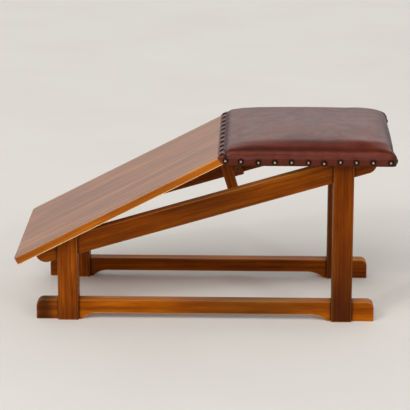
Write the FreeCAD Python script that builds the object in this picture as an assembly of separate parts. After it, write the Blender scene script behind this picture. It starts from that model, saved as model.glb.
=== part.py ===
import FreeCAD, Part
import math
import os

# Shoe fitting stool: a sloping foot ramp and a padded leather seat on two side frames.
# Millimetres. +Z is up and +X points to the seat end. The origin is on the floor under the
# middle of the whole stool. Left is at -Y, the left hand of a fitter who sits facing the ramp.

# The whole stool
overall_length = 712.0
board_width = 333.0
board_overhang = 17.5
leg_spacing = 515.0
seat_base_height = 309.0
ramp_height_at_short_leg = 160.5

# Stock for the side frames
leg_side = 38.0
rail_depth = 38.0
rail_thickness = 25.0
rail_overhang = 42.0
eased_edge = 1.5

# Runners, flat on the floor
runner_end_radius = 13.0
relief_height = 12.5
relief_foot = 5.7
relief_radius_at_short_leg = 42.0
relief_radius_at_tall_leg = 56.0

# Sloping rails: how far their underside lies below the boards at the middle of each leg
rail_drop_at_short_leg = 37.5
rail_drop_at_tall_leg = 33.5
rail_end_radius = 20.0

# Boards
ramp_thickness = 15.0
ramp_corner_radius = 9.0
ramp_eased_edge = 2.0
ramp_end_lift = 3.2
seat_board_thickness = 16.0
seat_board_length = 317.0
seat_board_corner_radius = 10.0

# Struts, square to the sloping rails, on their inner faces
strut_width = 19.0
strut_thickness = 18.0
strut_from_joint = 4.5

# Cross rails
cross_rail_thickness = 20.0
cross_rail_depth = 30.0
bearer_width = 36.0
bearer_depth = 18.0
tenon_length = 16.5
tenon_thickness = 10.0
tenon_shoulder = 6.0
bearer_tenon_length = 9.0

# Leather and padding
leather = 1.5
seat_gap = 0.3
fold_depth = 0.4
edge_rise = 19.0
crown_rise = 11.1
cushion_from_ramp = 6.6
flap_length = 5.0
flap_thickness = 1.0
corner_fold = 4.0
corner_fold_width = 22.0
corner_fold_length = 14.0
corner_fold_shoulder = 3.0
corner_fold_rise = 11.0
corner_fold_lean = 6.0
corner_fold_chamfer = 5.0

# Dome nails
nail_radius = 5.0
nail_rise = 3.0
nail_shank = 1.6
nail_length = 10.5
nail_clearance = 0.1
side_nail_drifts = (0.0, -1.8, 0.0, 0.0, 0.0, 0.5, -1.1, -1.8, -2.9, -2.7, -0.5)
side_nail_lifts = (2.7, 1.3, -0.4, 0.0, 0.4, 0.0, -1.3, 1.1, 0.8, 0.6, 0.6)
nails_per_side = len(side_nail_drifts)
dome_angle_shares = (1.0, 0.62, 0.22)
nail_from_base = 7.0
nail_from_ramp_end = 4.0
nail_from_corner = 6.5
end_nail_from_side = 12.5
ramp_nail_from_side = 6.5
ramp_nail_past_end = 2.4

# Countersunk wood screws
screw_head_radius = 4.2
screw_head_depth = 3.4
screw_shank_radius = 2.1
screw_point = 5.0
screw_tip_share = 0.3
screw_clearance = 0.05
board_screw_grip = 9.5
strut_screw_grip = 14.0
strut_screw_heights = (12.5, 26.5)
cross_rail_screw_y = 70.0
bearer_screw_y = 55.0
bearer_screw_from_joint = 9.5

# Round heads and shanks have this many flats
facet_count = 10

# One overrun serves every cut that passes a face
overrun = 5.0

# Places that follow from the sizes above
half_length = overall_length / 2
leg_x = leg_spacing / 2
half_leg = leg_side / 2
rail_end_x = leg_x + half_leg + rail_overhang
leg_outer_y = board_width / 2 - board_overhang
leg_inner_y = leg_outer_y - leg_side
cheek = (leg_side - rail_thickness) / 2
rail_outer_y = leg_outer_y - cheek
rail_inner_y = rail_outer_y - rail_thickness
strut_inner_y = rail_inner_y - strut_thickness
board_y = board_width / 2
leather_y = board_y + seat_gap + leather

rail_height_at_short_leg = ramp_height_at_short_leg - rail_drop_at_short_leg
rail_height_at_tall_leg = seat_base_height - rail_drop_at_tall_leg
rail_angle = math.atan2(rail_height_at_tall_leg - rail_height_at_short_leg, leg_spacing)
seat_right = half_length - nail_rise - corner_fold
board_right = seat_right - leather - seat_gap
joint_x = board_right - seat_board_length
ramp_angle = math.atan2(seat_base_height - ramp_height_at_short_leg, joint_x + leg_x)
seat_board_top = seat_base_height + seat_board_thickness

SIDES = (("left", -1), ("right", 1))


def rail_under(x):
    """Height of the sloping rails' underside at x."""
    return rail_height_at_short_leg + (x + leg_x) * math.tan(rail_angle)


def ramp_under(x):
    """Height of the ramp's underside at x."""
    return ramp_height_at_short_leg + (x + leg_x) * math.tan(ramp_angle)


def along_ramp(start, distance, lift):
    """The point (x, z) that lies a distance up the ramp from start and a lift square to it."""
    x, z = start
    return (x + distance * math.cos(ramp_angle) - lift * math.sin(ramp_angle),
            z + distance * math.sin(ramp_angle) + lift * math.cos(ramp_angle))


# The ramp's square-cut upper end: its lower and upper corners, and its foot corners
ramp_end_x = joint_x + ramp_end_lift / math.tan(ramp_angle)
ramp_end_low = (ramp_end_x, seat_base_height + ramp_end_lift)
ramp_end_top = along_ramp(ramp_end_low, 0, ramp_thickness)
ramp_foot_top_x = -half_length - ramp_eased_edge * (math.cos(ramp_angle) + math.sin(ramp_angle) - 1)
ramp_length = (ramp_end_top[0] - ramp_foot_top_x) / math.cos(ramp_angle)
ramp_foot_low = along_ramp(ramp_end_low, -ramp_length, 0)


def extruded(points, run):
    """A solid whose outline is a closed polygon through these points, drawn out by run."""
    corners = [FreeCAD.Vector(*point) for point in points]
    face = Part.Face(Part.makePolygon(corners + corners[:1]))
    return face.extrude(run)


def side_prism(points, y_from, y_to):
    """A solid whose outline in X and Z is a closed polygon, running from y_from to y_to."""
    return extruded([(x, y_from, z) for x, z in points], FreeCAD.Vector(0, y_to - y_from, 0))


def block(x_from, x_to, y_from, y_to, z_from, z_to):
    """A plain rectangular block between two opposite corners."""
    return Part.makeBox(x_to - x_from, y_to - y_from, z_to - z_from, FreeCAD.Vector(x_from, y_from, z_from))


def round_edges(solid, radius, wanted):
    """Rounds the edges that the function wanted accepts."""
    return solid.makeFillet(radius, [edge for edge in solid.Edges if wanted(edge)])


def upright(edge):
    """True for a straight edge along Z."""
    box = edge.BoundBox
    return box.XLength < eased_edge / 10 and box.YLength < eased_edge / 10


def across(edge):
    """True for a straight edge along Y."""
    box = edge.BoundBox
    return box.XLength < eased_edge / 10 and box.ZLength < eased_edge / 10


def lengthwise(edge):
    """True for an edge that lies in a face square to Y."""
    return edge.BoundBox.YLength < eased_edge / 10


def mirrored(solid):
    """The same piece on the other side of the stool."""
    return solid.mirror(FreeCAD.Vector(0, 0, 0), FreeCAD.Vector(0, 1, 0))


def on_side(solid, sign):
    """A piece drawn for the right side, put on the side that the sign names."""
    return solid if sign > 0 else mirrored(solid)


def space_under_boards():
    """All that lies below the ramp's and the seat board's undersides."""
    far = half_length + overrun
    outline = [(-far, -overrun), (far, -overrun), (far, seat_base_height),
               (joint_x, seat_base_height), (-far, ramp_under(-far))]
    return side_prism(outline, -board_width, board_width)


def cross_tenon(x, z_low, z_high, shoulder_y, length):
    """A stub tenon at the right-hand end of a cross piece."""
    return block(x - tenon_thickness / 2, x + tenon_thickness / 2, shoulder_y - overrun, shoulder_y + length,
                 z_low + tenon_shoulder, z_high - tenon_shoulder)


def front_tenon():
    """The tenon of the cross rail between the short legs."""
    top = ramp_under(-leg_x - cross_rail_thickness / 2)
    return cross_tenon(-leg_x, ramp_height_at_short_leg - cross_rail_depth, top, leg_inner_y, tenon_length)


def back_tenon():
    """The tenon of the cross rail between the tall legs."""
    z_low = seat_base_height - cross_rail_depth
    return cross_tenon(leg_x, z_low, seat_base_height, leg_inner_y, tenon_length)


def bearer_tenon():
    """The tenon of the bearer between the struts."""
    x = joint_x + strut_from_joint + (bearer_depth / 2) * math.tan(rail_angle)
    shoulder = tenon_shoulder / 2
    return block(x - tenon_thickness / 2, x + tenon_thickness / 2, strut_inner_y - overrun,
                 strut_inner_y + bearer_tenon_length,
                 seat_base_height - bearer_depth + shoulder, seat_base_height - 2 * shoulder)


def make_runner():
    """A floor runner: rounded upper ends and an underside relieved between the feet."""
    body = block(-rail_end_x, rail_end_x, rail_inner_y, rail_outer_y, 0, rail_depth)

    def upper_end(edge):
        return across(edge) and edge.BoundBox.ZMin > rail_depth / 2

    body = round_edges(body, runner_end_radius, upper_end)
    body = round_edges(body, eased_edge, lambda edge: lengthwise(edge) and edge.BoundBox.ZMax > eased_edge)
    return body.cut(runner_relief())


def relief_arc(foot_x, radius):
    """An arc at one end of a runner's relief: its foot, its middle and its top."""
    inward = -math.copysign(1, foot_x)
    run = math.sqrt(radius ** 2 - (radius - relief_height) ** 2)
    half_angle = math.acos((radius - relief_height) / radius) / 2
    top_x = foot_x + inward * run
    middle_x = top_x - inward * radius * math.sin(half_angle)
    middle_z = relief_height - radius * (1 - math.cos(half_angle))
    return [FreeCAD.Vector(foot_x, 0, 0), FreeCAD.Vector(middle_x, 0, middle_z),
            FreeCAD.Vector(top_x, 0, relief_height)]


def runner_relief():
    """The hollow under a runner: flat on top, with an arc down to each foot."""
    foot_x = leg_x - half_leg - relief_foot
    low, middle, high = relief_arc(foot_x, relief_radius_at_tall_leg)
    other_low, other_middle, other_high = relief_arc(-foot_x, relief_radius_at_short_leg)
    below = FreeCAD.Vector(0, 0, -overrun)
    edges = [Part.LineSegment(other_high, high).toShape(),
             Part.Arc(high, middle, low).toShape(),
             Part.LineSegment(low, low + below).toShape(),
             Part.LineSegment(low + below, other_low + below).toShape(),
             Part.LineSegment(other_low + below, other_low).toShape(),
             Part.Arc(other_low, other_middle, other_high).toShape()]
    face = Part.Face(Part.Wire(edges))
    face.translate(FreeCAD.Vector(0, rail_inner_y - overrun, 0))
    return face.extrude(FreeCAD.Vector(0, rail_thickness + 2 * overrun, 0))


def make_sloped_rail():
    """A sloping rail: both ends rounded below and cut above to carry the ramp and the seat."""
    depth = rail_depth / math.cos(rail_angle)
    left, right = -rail_end_x, rail_end_x
    outline = [(left, rail_under(left)), (right, rail_under(right)),
               (right, rail_under(right) + depth), (left, rail_under(left) + depth)]
    body = side_prism(outline, rail_inner_y, rail_outer_y)

    def lower_end(edge):
        low = rail_under(edge.BoundBox.XMin)
        return across(edge) and abs(edge.BoundBox.ZMin - low) < rail_depth / 2

    body = round_edges(body, rail_end_radius, lower_end)
    body = round_edges(body, eased_edge, lengthwise)
    body = body.common(space_under_boards())
    for solid in (front_tenon(), back_tenon()):
        body = body.cut(solid)
    return body


def rail_slot():
    """The space that a sloping rail takes in the fork of a leg."""
    left, right = -rail_end_x, rail_end_x
    outline = [(left, rail_under(left)), (right, rail_under(right)),
               (right, seat_base_height + rail_depth), (left, seat_base_height + rail_depth)]
    return side_prism(outline, rail_inner_y, rail_outer_y)


def make_leg(x, tenon):
    """A square leg at x, forked over the runner at its foot and over the sloping rail at its head."""
    body = block(x - half_leg, x + half_leg, leg_inner_y, leg_outer_y, 0, seat_base_height + leg_side)
    body = round_edges(body, eased_edge, upright)
    body = body.common(space_under_boards())
    body = body.cut(block(x - leg_side, x + leg_side, rail_inner_y, rail_outer_y, -overrun, rail_depth))
    return body.cut(rail_slot()).cut(tenon)


def strut_point(x_offset, down):
    """A point (x, z) of the strut, measured from where its middle meets the seat's underside."""
    x = joint_x + strut_from_joint
    return (x + x_offset * math.cos(rail_angle) + down * math.sin(rail_angle),
            seat_base_height + x_offset * math.sin(rail_angle) - down * math.cos(rail_angle))


def strut_run():
    """Length of the strut's middle line from the seat's underside to the rail's underside."""
    x = joint_x + strut_from_joint
    return (seat_base_height - rail_under(x)) * math.cos(rail_angle)


def make_strut():
    """A strut on the inner face of a sloping rail, its head cut to the undersides of both boards."""
    half = strut_width / 2
    run = strut_run()
    outline = [strut_point(-half, run), strut_point(half, run),
               strut_point(half, -strut_width), strut_point(-half, -strut_width)]
    body = side_prism(outline, strut_inner_y, rail_inner_y)
    body = round_edges(body, eased_edge, lambda edge: not across(edge) and edge.Length > run)
    return body.common(space_under_boards()).cut(bearer_tenon())


def make_cross_rail(x, z_low, thickness, shoulder_y, tenon):
    """A cross piece from shoulder to shoulder, its top planed to the boards, with a tenon at each end."""
    half = thickness / 2
    body = block(x - half, x + half, -shoulder_y, shoulder_y, z_low, seat_base_height + overrun)
    body = body.common(space_under_boards())
    return body.fuse([tenon, mirrored(tenon)]).removeSplitter()


def make_ramp():
    """The solid board ramp, square-cut at both ends, with its arrises eased and foot corners rounded."""
    outline = [ramp_foot_low, ramp_end_low, ramp_end_top, along_ramp(ramp_foot_low, 0, ramp_thickness)]
    body = side_prism(outline, -board_y, board_y)
    foot = ramp_foot_low[0] + ramp_thickness

    def foot_corner(edge):
        return not across(edge) and edge.Length < ramp_thickness * 2 and edge.BoundBox.XMax < foot

    body = round_edges(body, ramp_corner_radius, foot_corner)
    middle = FreeCAD.Vector(math.sin(ramp_angle), 0, -math.cos(ramp_angle))
    level = middle.dot(FreeCAD.Vector(ramp_end_top[0], 0, ramp_end_top[1]))

    def top_arris(edge):
        centre = edge.CenterOfMass
        at_top = abs(middle.dot(centre) - level) < eased_edge / 10
        return at_top and centre.x < ramp_end_top[0] - ramp_thickness

    return round_edges(body, ramp_eased_edge, top_arris)


def board_form(grow, reach, z_low, z_high):
    """The seat board's form between two heights, grown by grow, its bevelled end moved back by reach."""
    def bevel(z):
        return ramp_end_low[0] - (z - ramp_end_low[1]) * math.tan(ramp_angle) - reach

    right = board_right + grow
    outline = [(bevel(z_low), z_low), (right, z_low), (right, z_high), (bevel(z_high), z_high)]
    body = side_prism(outline, -board_y - grow, board_y + grow)

    def free_corner(edge):
        return upright(edge) and edge.BoundBox.XMin > board_right - seat_board_corner_radius

    return round_edges(body, seat_board_corner_radius + grow, free_corner)


def make_seat_board():
    """The board inside the seat, its edge at the ramp bevelled to fit the ramp's square end."""
    return board_form(0, 0, seat_base_height, seat_board_top)


# The cushion's profile across the stool, as shares of how far its edge rises over the board:
# how far and how high its side leans in, then the width of the rounded shoulder
lean_share = 0.30
side_share = 0.72
shoulder_share = 0.42
# The cushion's profile along the stool, from an end to the middle of the seat: how far the
# stations lie in from the end, as shares of half its length, and the rise of the edge there
station_shares = (0.0, 0.016, 0.032, 0.05, 0.08, 0.12, 0.22, 0.42, 0.70, 1.0)
ramp_end_rise_shares = (0.12, 0.62, 0.73, 0.79, 0.83, 0.875, 0.945, 0.995, 1.0, 1.0)
free_end_rise_shares = (0.12, 0.38, 0.52, 0.61, 0.72, 0.80, 0.90, 0.98, 1.0, 1.0)
ramp_end_crown_share = 0.05
free_end_crown_share = 0.45


def cushion_section(x, half_width, rise, crown):
    """A closed profile at x: upright beside the board, then a side leaning in, a shoulder and a crown."""
    base = seat_base_height + seat_board_thickness / 2
    y_side, z_side = half_width - rise * lean_share, seat_board_top + rise * side_share
    y_edge, z_edge = y_side - rise * shoulder_share, seat_board_top + rise
    bulge = 1 - math.sqrt(0.5)
    y_mid = y_side - (y_side - y_edge) * bulge
    z_mid = z_edge - (z_edge - z_side) * bulge

    def point(y, z):
        return FreeCAD.Vector(x, y, z)

    edges = [Part.LineSegment(point(-half_width, base), point(half_width, base)),
             Part.LineSegment(point(half_width, base), point(half_width, seat_board_top)),
             Part.LineSegment(point(half_width, seat_board_top), point(y_side, z_side)),
             Part.Arc(point(y_side, z_side), point(y_mid, z_mid), point(y_edge, z_edge)),
             Part.Arc(point(y_edge, z_edge), point(0, z_edge + crown), point(-y_edge, z_edge)),
             Part.Arc(point(-y_edge, z_edge), point(-y_mid, z_mid), point(-y_side, z_side)),
             Part.LineSegment(point(-y_side, z_side), point(-half_width, seat_board_top)),
             Part.LineSegment(point(-half_width, seat_board_top), point(-half_width, base))]
    return Part.Wire([edge.toShape() for edge in edges])


def corner_inset(distance):
    """How far the seat's rounded free corner comes in at a distance from its end."""
    radius = seat_board_corner_radius + seat_gap + leather
    if distance >= radius:
        return 0
    return radius - math.sqrt(radius ** 2 - (radius - distance) ** 2)


def cushion_form(shrink):
    """The cushion's outer form over the board's edges, drawn in by shrink on every side but its base."""
    low_end = ramp_end_top[0] + cushion_from_ramp + shrink
    high_end = seat_right - fold_depth - shrink
    half = (high_end - low_end) / 2
    half_width = leather_y - fold_depth - shrink

    def section(x, inset, station_share, rise_share, end_crown_share):
        crown_share = 1 - (1 - end_crown_share) * (1 - station_share) ** 2
        section_rise = edge_rise * rise_share - shrink
        return cushion_section(x, half_width - inset, section_rise, crown_rise * crown_share)

    sections = [section(low_end + half * share, 0, share, rise, ramp_end_crown_share)
                for share, rise in zip(station_shares, ramp_end_rise_shares)]
    for share, rise in list(zip(station_shares, free_end_rise_shares))[-2::-1]:
        inset = corner_inset(half * share + fold_depth)
        sections.append(section(high_end - half * share, inset, share, rise, free_end_crown_share))
    return Part.makeLoft(sections, True, True)


def ramp_space():
    """The ramp's end and all that lies below its top, for cutting the leather to it."""
    far = along_ramp(ramp_end_top, -ramp_length / 2, 0)
    under = along_ramp(ramp_end_low, 0, -ramp_thickness)
    outline = [under, ramp_end_top, far, (under[0], far[1])]
    return side_prism(outline, -board_width, board_width)


def leather_flap():
    """The leather's edge: skived thin on the ramp's end and folded thick on the seat board's edge."""
    reach = (cushion_from_ramp + leather / 2 + flap_thickness * math.sin(ramp_angle)) / math.cos(ramp_angle)
    board_corner = along_ramp(ramp_end_top, 0, (seat_board_top - ramp_end_top[1]) / math.cos(ramp_angle))
    high = along_ramp(ramp_end_top, reach, flap_thickness)
    outline = [along_ramp(ramp_end_top, -flap_length, 0), ramp_end_top, board_corner,
               (high[0], seat_board_top), high, along_ramp(ramp_end_top, -flap_length, flap_thickness)]
    return side_prism(outline, -board_y, board_y)


def corner_folds():
    """The folded leather at the free corners: proud of the end's band and level with the sides'."""
    right, side, top = seat_right + corner_fold, leather_y, seat_board_top + corner_fold_rise
    left, inner = right - corner_fold_length, leather_y - corner_fold_width
    shoulder = seat_board_top + corner_fold_shoulder
    lengthways = side_prism([(left, seat_base_height), (right, seat_base_height), (right, shoulder),
                             (right - corner_fold_lean, top), (left, top)], inner, side)
    crossways = [(left, inner, seat_base_height), (left, side, seat_base_height),
                 (left, side, seat_board_top), (left, side - corner_fold_lean, top),
                 (left, inner + corner_fold_lean, top), (left, inner, shoulder)]
    flat = [(left, inner, seat_base_height), (right, inner, seat_base_height),
            (right, side - corner_fold_chamfer, seat_base_height),
            (right - corner_fold_chamfer, side, seat_base_height), (left, side, seat_base_height)]
    fold = lengthways.common(extruded(crossways, FreeCAD.Vector(corner_fold_length, 0, 0)))
    fold = fold.common(extruded(flat, FreeCAD.Vector(0, 0, top - seat_base_height)))
    return [fold, mirrored(fold)]


def make_seat_padding():
    """The padding on the seat board, crowned and drawn in under the leather."""
    far = half_length + overrun
    return cushion_form(leather + seat_gap).cut(block(-far, far, -far, far, -overrun, seat_board_top))


def make_seat_cover():
    """The leather: a band round the board, a thin shell over the padding, corner folds and a flap."""
    band = board_form(seat_gap + leather, 0, seat_base_height, seat_board_top)
    board_space = board_form(seat_gap, overrun, seat_base_height - overrun, seat_board_top)
    cover = band.fuse([cushion_form(0)] + corner_folds())
    cover = cover.cut(board_space).cut(cushion_form(leather)).cut(ramp_space())
    return cover.fuse(leather_flap())


def turned(outline):
    """A turned form with flat facets about Z, through the (radius, height) points of its outline."""
    def ring(radius, z):
        turns = [2 * math.pi * index / facet_count for index in range(facet_count)]
        return [FreeCAD.Vector(radius * math.cos(turn), radius * math.sin(turn), z) for turn in turns]

    def facet(corners):
        return Part.Face(Part.makePolygon(corners + corners[:1]))

    rings = [ring(radius, z) for radius, z in outline]
    faces = [facet(rings[0]), facet(rings[-1])]
    for near, far in zip(rings, rings[1:]):
        for index in range(facet_count):
            after = (index + 1) % facet_count
            faces.append(facet([near[index], near[after], far[after], far[index]]))
    return Part.Solid(Part.Shell(faces))


def nail_shank_at(place, grow):
    """The square shank of a nail, grown all round by grow, behind the face at place."""
    half = nail_shank / 2 + grow
    return placed(block(-half, half, -half, half, -nail_length - grow, 0), place)


def make_nail(place):
    """A nail with a domed head on the face at place and a square shank behind it."""
    ball_radius = (nail_radius ** 2 + nail_rise ** 2) / (2 * nail_rise)
    half_angle = math.asin(nail_radius / ball_radius)
    outline = [(ball_radius * math.sin(half_angle * share),
                nail_rise - ball_radius * (1 - math.cos(half_angle * share))) for share in dome_angle_shares]
    return placed(turned(outline), place).fuse(nail_shank_at(place, 0))


def placed(solid, place):
    """A solid drawn about the origin along Z, put at a place: its point and its direction."""
    point, direction = place
    solid = solid.copy()
    solid.Placement = FreeCAD.Placement(point, FreeCAD.Rotation(FreeCAD.Vector(0, 0, 1), direction))
    return solid


def spread(first, last, count):
    """Evenly spaced places from first to last."""
    return [first + (last - first) * index / (count - 1) for index in range(count)]


def side_nail_places(sign):
    """The row of nails along one long side of the seat, set by eye, so none stands quite in line."""
    z = seat_base_height + nail_from_base
    first = ramp_end_low[0] - (z - ramp_end_low[1]) * math.tan(ramp_angle) + nail_from_ramp_end
    even = spread(first, seat_right - nail_from_corner, nails_per_side)
    wander = list(zip(side_nail_drifts, side_nail_lifts))
    if sign > 0:
        wander = [(-drift, lift) for drift, lift in reversed(wander)]
    return [(FreeCAD.Vector(x + drift, sign * leather_y, z + lift), FreeCAD.Vector(0, sign, 0))
            for x, (drift, lift) in zip(even, wander)]


def end_nail_places():
    """The row of nails across the seat's free end, the outer two of them on the corner folds."""
    z = seat_base_height + nail_from_base
    reach = board_y - end_nail_from_side
    faces = [seat_right] * nails_per_side
    faces[0] = faces[-1] = seat_right + corner_fold
    return [(FreeCAD.Vector(x, y, z), FreeCAD.Vector(1, 0, 0))
            for x, y in zip(faces, spread(-reach, reach, nails_per_side))]


def ramp_nail_places():
    """The row of nails through the leather's edge into the seat board, just past the ramp's end."""
    x, z = along_ramp(ramp_end_top, ramp_nail_past_end, flap_thickness)
    reach = board_y - ramp_nail_from_side
    direction = FreeCAD.Vector(-math.sin(ramp_angle), 0, math.cos(ramp_angle))
    return [(FreeCAD.Vector(x, y, z), direction) for y in spread(-reach, reach, nails_per_side)]


def make_screw(place, length, grow):
    """A countersunk wood screw, grown all round by grow, its head flush with the face at place."""
    head, shank = screw_head_radius + grow, screw_shank_radius + grow
    outline = [(head, 0), (shank, -screw_head_depth), (shank, screw_point - length),
               (shank * screw_tip_share, -length - grow)]
    return placed(turned(outline), place)


def strut_screw_places():
    """Screws through each strut into its sloping rail, with their lengths."""
    places = []
    for height in strut_screw_heights:
        x, z = strut_point(0, strut_run() - height)
        for sign in (-1, 1):
            places.append(((FreeCAD.Vector(x, sign * strut_inner_y, z), FreeCAD.Vector(0, -sign, 0)),
                           strut_thickness + strut_screw_grip))
    return places


def upward_screws(x, y, z, board_underside):
    """A pair of screws up through a cross piece into the board above it, with their length."""
    down = FreeCAD.Vector(0, 0, -1)
    length = board_underside - z + board_screw_grip
    return [((FreeCAD.Vector(x, sign * y, z), down), length) for sign in (-1, 1)]


def seat_screw_places():
    """Screws up into the seat board."""
    places = upward_screws(leg_x, cross_rail_screw_y, seat_base_height - cross_rail_depth, seat_base_height)
    return places + upward_screws(joint_x + bearer_screw_from_joint, bearer_screw_y,
                                  seat_base_height - bearer_depth, seat_base_height)


def ramp_screw_places():
    """Screws up into the ramp."""
    x = joint_x - bearer_screw_from_joint
    places = upward_screws(-leg_x, cross_rail_screw_y, ramp_height_at_short_leg - cross_rail_depth,
                           ramp_height_at_short_leg)
    return places + upward_screws(x, bearer_screw_y, seat_base_height - bearer_depth, ramp_under(x))


def drilled(solid, screws):
    """A piece with the holes of the screws that reach it."""
    return solid.cut([make_screw(place, length, screw_clearance) for place, length in screws])


def nailed(solid, places):
    """A piece with the holes of the nails that reach it."""
    return solid.cut([nail_shank_at(place, nail_clearance) for place in places])


def write(name, shape):
    """Checks a piece and writes it to its own file."""
    solids = shape.Solids
    kept = solids[0] if len(solids) == 1 else Part.makeCompound(solids)
    if not kept.isValid():
        raise ValueError(name + " isn't a valid solid")
    kept.exportStep("parts/" + name + ".step")
    print(name, len(solids), "solid(s), volume", round(kept.Volume / 1000, 2), "cm3")


def write_frames(strut_screws):
    """The two side frames."""
    for side, sign in SIDES:
        write("runner_" + side, on_side(make_runner(), sign))
        write("sloped_rail_" + side, drilled(on_side(make_sloped_rail(), sign), strut_screws))
        write("short_leg_" + side, on_side(make_leg(-leg_x, front_tenon()), sign))
        write("tall_leg_" + side, on_side(make_leg(leg_x, back_tenon()), sign))
        write("strut_" + side, drilled(on_side(make_strut(), sign), strut_screws))


def write_cross_pieces(screws):
    """The three pieces that join the side frames under the boards."""
    front = make_cross_rail(-leg_x, ramp_height_at_short_leg - cross_rail_depth,
                            cross_rail_thickness, leg_inner_y, front_tenon())
    back = make_cross_rail(leg_x, seat_base_height - cross_rail_depth,
                           cross_rail_thickness, leg_inner_y, back_tenon())
    bearer = make_cross_rail(joint_x, seat_base_height - bearer_depth,
                             bearer_width, strut_inner_y, bearer_tenon())
    write("front_cross_rail", drilled(front, screws))
    write("back_cross_rail", drilled(back, screws))
    write("joint_bearer", drilled(bearer, screws))


def main():
    os.makedirs("parts", exist_ok=True)
    strut_screws, seat_screws, ramp_screws = strut_screw_places(), seat_screw_places(), ramp_screw_places()
    write_frames(strut_screws)
    write_cross_pieces(seat_screws + ramp_screws)
    for name, screws in (("strut", strut_screws), ("seat", seat_screws), ("ramp", ramp_screws)):
        turned_screws = [make_screw(place, length, 0) for place, length in screws]
        write(name + "_screws", Part.makeCompound(turned_screws))

    nail_rows = {"left_side": side_nail_places(-1), "right_side": side_nail_places(1),
                 "free_end": end_nail_places(), "ramp_end": ramp_nail_places()}
    nails = [place for row in nail_rows.values() for place in row]
    for row, places in nail_rows.items():
        write("seat_nails_" + row, Part.makeCompound([make_nail(place) for place in places]))

    write("ramp_board", drilled(make_ramp(), ramp_screws))
    write("seat_board", nailed(drilled(make_seat_board(), seat_screws), nails))
    write("seat_padding", make_seat_padding())
    write("seat_cover", nailed(make_seat_cover(), nails))


main()
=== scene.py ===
# %% [markdown]
# # A shoe fitting stool, dressed in Blender
#
# The stool is a shop fitter's seat with a sloping board in front of it: the customer's foot rests on the
# slope while the fitter sits on the padded end. Its joinery arrives finished from the CAD model, so this
# lesson keeps those solids and gives them stained and varnished wood. The padded seat, its leather, its
# dome nails and its screws are made here, because they are soft, small or round.

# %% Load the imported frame
import math
import random

import bmesh
import bpy
import numpy as np
from mathutils import Euler, Matrix, Vector


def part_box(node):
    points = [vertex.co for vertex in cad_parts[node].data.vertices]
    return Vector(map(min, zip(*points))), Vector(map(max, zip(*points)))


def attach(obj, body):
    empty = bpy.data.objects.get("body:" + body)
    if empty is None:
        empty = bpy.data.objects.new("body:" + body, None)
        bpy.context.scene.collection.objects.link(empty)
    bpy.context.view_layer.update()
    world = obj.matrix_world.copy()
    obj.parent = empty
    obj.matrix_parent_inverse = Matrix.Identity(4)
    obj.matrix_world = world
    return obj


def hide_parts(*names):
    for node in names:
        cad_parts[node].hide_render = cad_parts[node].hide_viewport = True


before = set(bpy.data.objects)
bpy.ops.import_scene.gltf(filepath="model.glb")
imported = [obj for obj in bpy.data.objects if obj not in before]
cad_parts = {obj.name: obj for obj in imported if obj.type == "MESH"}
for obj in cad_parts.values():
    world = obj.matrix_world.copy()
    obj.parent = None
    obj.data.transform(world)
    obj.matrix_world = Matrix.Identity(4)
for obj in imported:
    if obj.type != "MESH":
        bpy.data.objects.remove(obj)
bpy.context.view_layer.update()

MM = 0.001

# %% [markdown]
# ## Small helpers
#
# Colours are written as the sRGB hex values that a painter would read off a swatch, and turned into the
# linear values that a shader works with. One function adds any shader node, with its settings, its values
# and its links, so every material below reads as a list of what it is made of.

# %% Helpers for colours, nodes and selection
def colour(hex_code):
    """Gives the linear colour of an sRGB hex value."""
    parts = [int(hex_code[place:place + 2], 16) / 255 for place in (1, 3, 5)]
    return (*(part / 12.92 if part <= 0.04045 else ((part + 0.055) / 1.055) ** 2.4 for part in parts), 1.0)


def add(tree, kind, inputs=None, **settings):
    """Adds a node of this kind; inputs holds a value or another node's socket for each socket."""
    node = tree.nodes.new(kind)
    for name, value in settings.items():
        setattr(node, name, value)
    for socket, value in (inputs or {}).items():
        if isinstance(value, bpy.types.NodeSocket):
            tree.links.new(value, node.inputs[socket])
        else:
            node.inputs[socket].default_value = value
    return node


def new_material(name):
    """Gives an empty material: its node tree, its surface shader and a socket with Object coordinates."""
    material = bpy.data.materials.new(name)
    material.use_nodes = True
    tree = material.node_tree
    tree.nodes.clear()
    surface = add(tree, "ShaderNodeBsdfPrincipled")
    add(tree, "ShaderNodeOutputMaterial", {"Surface": surface.outputs["BSDF"]})
    return material, tree, surface, add(tree, "ShaderNodeTexCoord").outputs["Object"]


def select_only(*pieces):
    """Selects these objects and nothing else, and makes the first of them active."""
    bpy.ops.object.select_all(action="DESELECT")
    for piece in pieces:
        piece.select_set(True)
    bpy.context.view_layer.objects.active = pieces[0]


def apply_all(piece):
    """Applies every modifier on a piece, from the first to the last."""
    select_only(piece)
    for modifier in list(piece.modifiers):
        bpy.ops.object.modifier_apply(modifier=modifier.name)


# %% [markdown]
# ## The camera
#
# The stool is seen side on, through a long lens about four metres away and a little above waist height. The
# place, the tilt and the focal length were fitted to the corners of the real one.

# %% Camera
camera = bpy.data.objects.new("camera", bpy.data.cameras.new("camera"))
bpy.context.scene.collection.objects.link(camera)
camera.data.sensor_width = 36.0
camera.data.lens = 173.99
camera.data.clip_end = 50.0
camera.location = (0.09706, -3.67922, 1.25568)
camera.rotation_euler = (math.radians(73.779), 0.0, math.radians(1.562))
bpy.context.scene.camera = camera
bpy.context.scene.view_settings.view_transform = "Standard"

# %% [markdown]
# ## Floor and light
#
# A plain pale floor runs far behind the stool. Satin varnish and leather mirror what stands behind them at a
# low angle, so the world is dim at the horizon, brightest about thirty degrees up, like a lit studio wall,
# and darker overhead. A broad soft sun evens out the floor, and two small soft boxes stand to the left and
# right of the camera: they are what puts two small lights in every nail head.

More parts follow.
